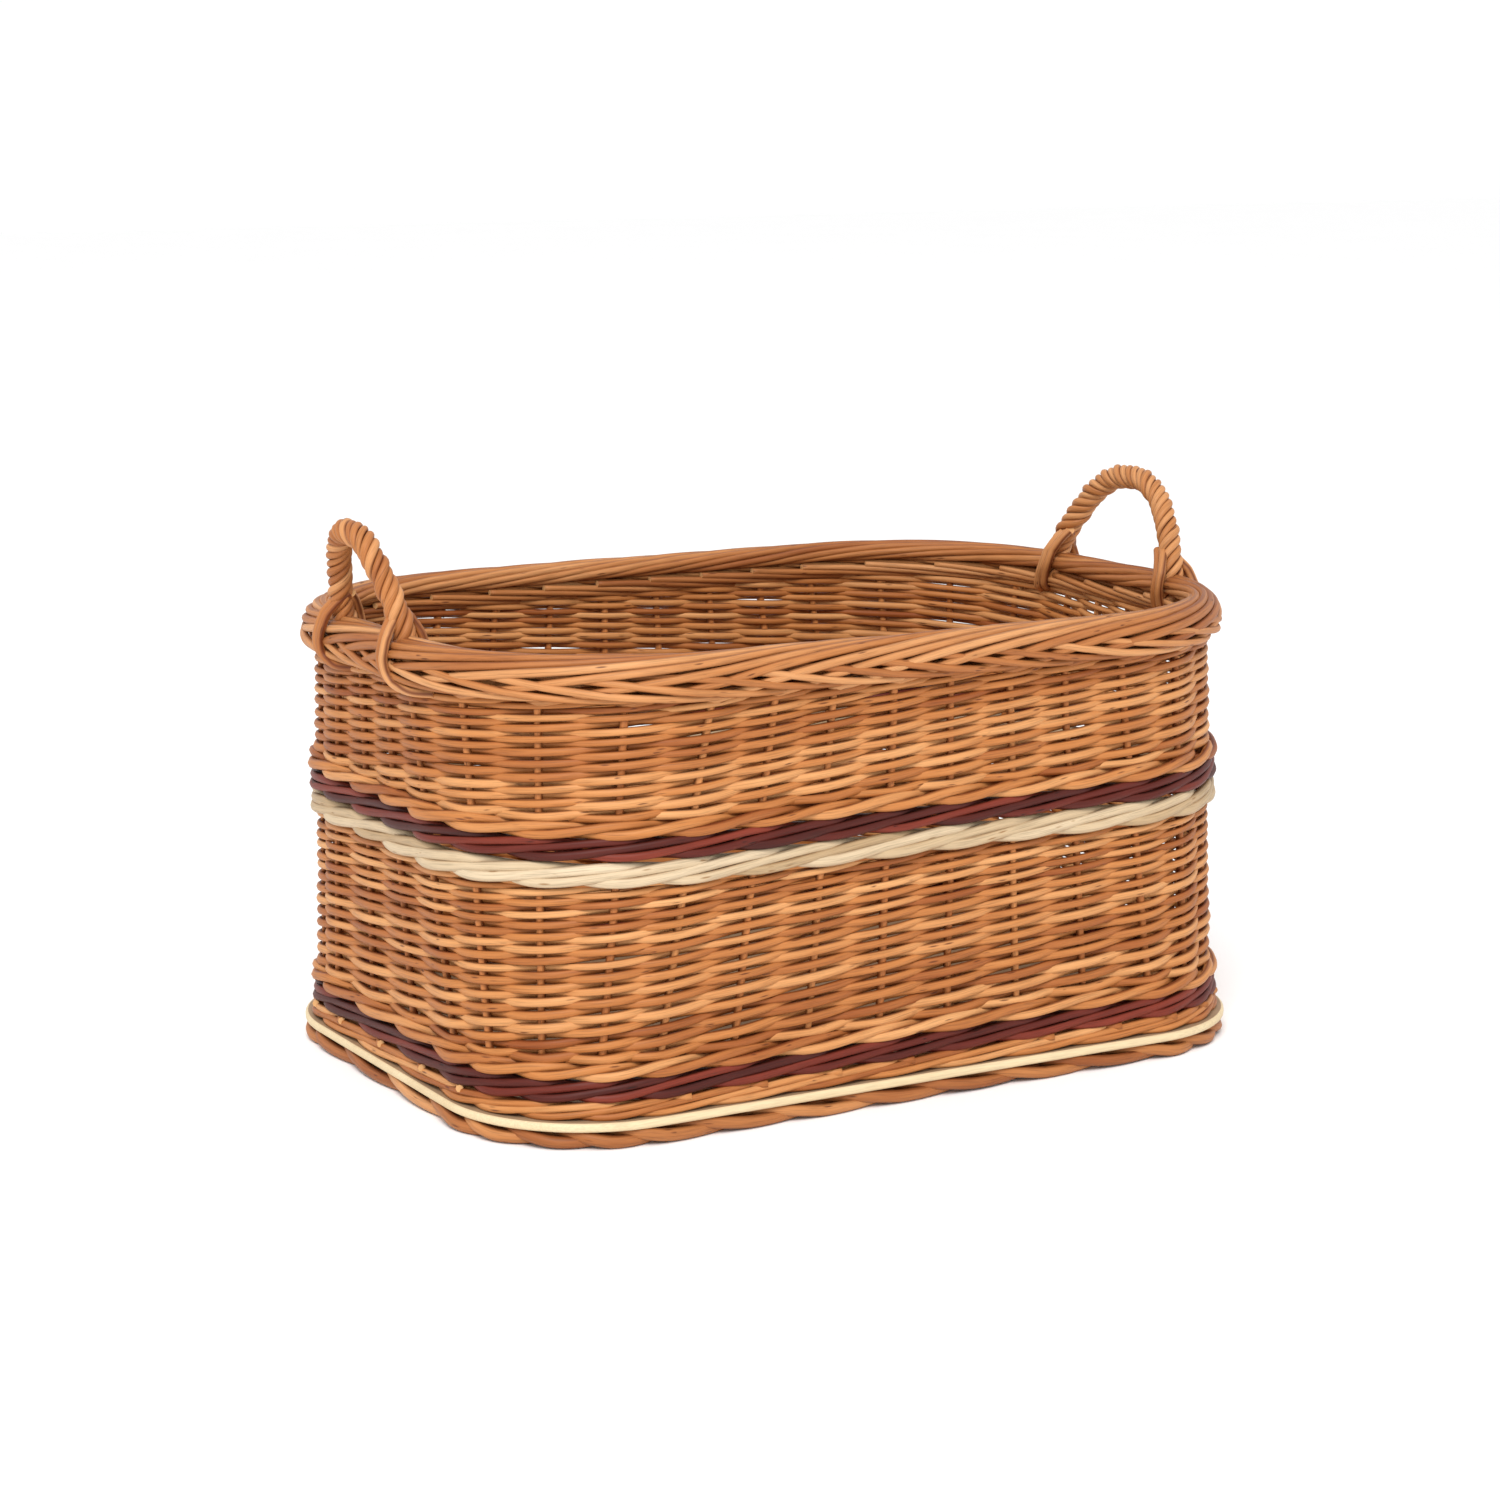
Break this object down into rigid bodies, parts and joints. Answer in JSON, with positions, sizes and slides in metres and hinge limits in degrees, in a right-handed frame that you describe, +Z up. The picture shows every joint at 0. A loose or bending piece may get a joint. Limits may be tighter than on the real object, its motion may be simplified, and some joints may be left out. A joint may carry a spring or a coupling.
{
  "type": "wicker log basket",
  "caption": "Oblong woven willow log basket with rounded ends, a plywood base board, banded walls, a plaited rim and two twisted end handles.",
  "frame": {"origin": "middle of the underside, on the surface the basket stands on", "axes": "+X along the length, towards one handle end; +Y across the width; +Z up"},
  "size_m": [0.6412, 0.4328, 0.3855],
  "materials": {
    "board_ply": "dull, pale plywood with a cream edge",
    "willow_natural": "satin, buff willow with small dark knots",
    "willow_rim": "satin, thick buff willow",
    "willow_dark": "satin, dark steamed willow",
    "willow_pale": "satin, peeled white willow"
  },
  "bodies": {
    "root": {"base_board": "board_ply", "foot_border": "willow_rim", "front_stakes": "willow_natural", "back_stakes": "willow_natural", "left_stakes": "willow_natural", "right_stakes": "willow_natural", "upsett_wale": "willow_natural", "lower_dark_wale": "willow_dark", "lower_siding": "willow_natural", "pale_wale": "willow_pale", "upper_dark_wale": "willow_dark", "upper_siding": "willow_natural", "rim_plait": "willow_rim", "rim_roll_outer": "willow_rim", "rim_roll_inner": "willow_rim", "left_bow": "willow_rim", "left_strand_1": "willow_rim", "left_strand_2": "willow_rim", "left_strand_3": "willow_rim", "left_strand_4": "willow_rim", "left_strand_5": "willow_rim", "left_front_lashing": "willow_rim", "left_back_lashing": "willow_rim", "right_bow": "willow_rim", "right_strand_1": "willow_rim", "right_strand_2": "willow_rim", "right_strand_3": "willow_rim", "right_strand_4": "willow_rim", "right_strand_5": "willow_rim", "right_front_lashing": "willow_rim", "right_back_lashing": "willow_rim"}
  },
  "joints": []
}
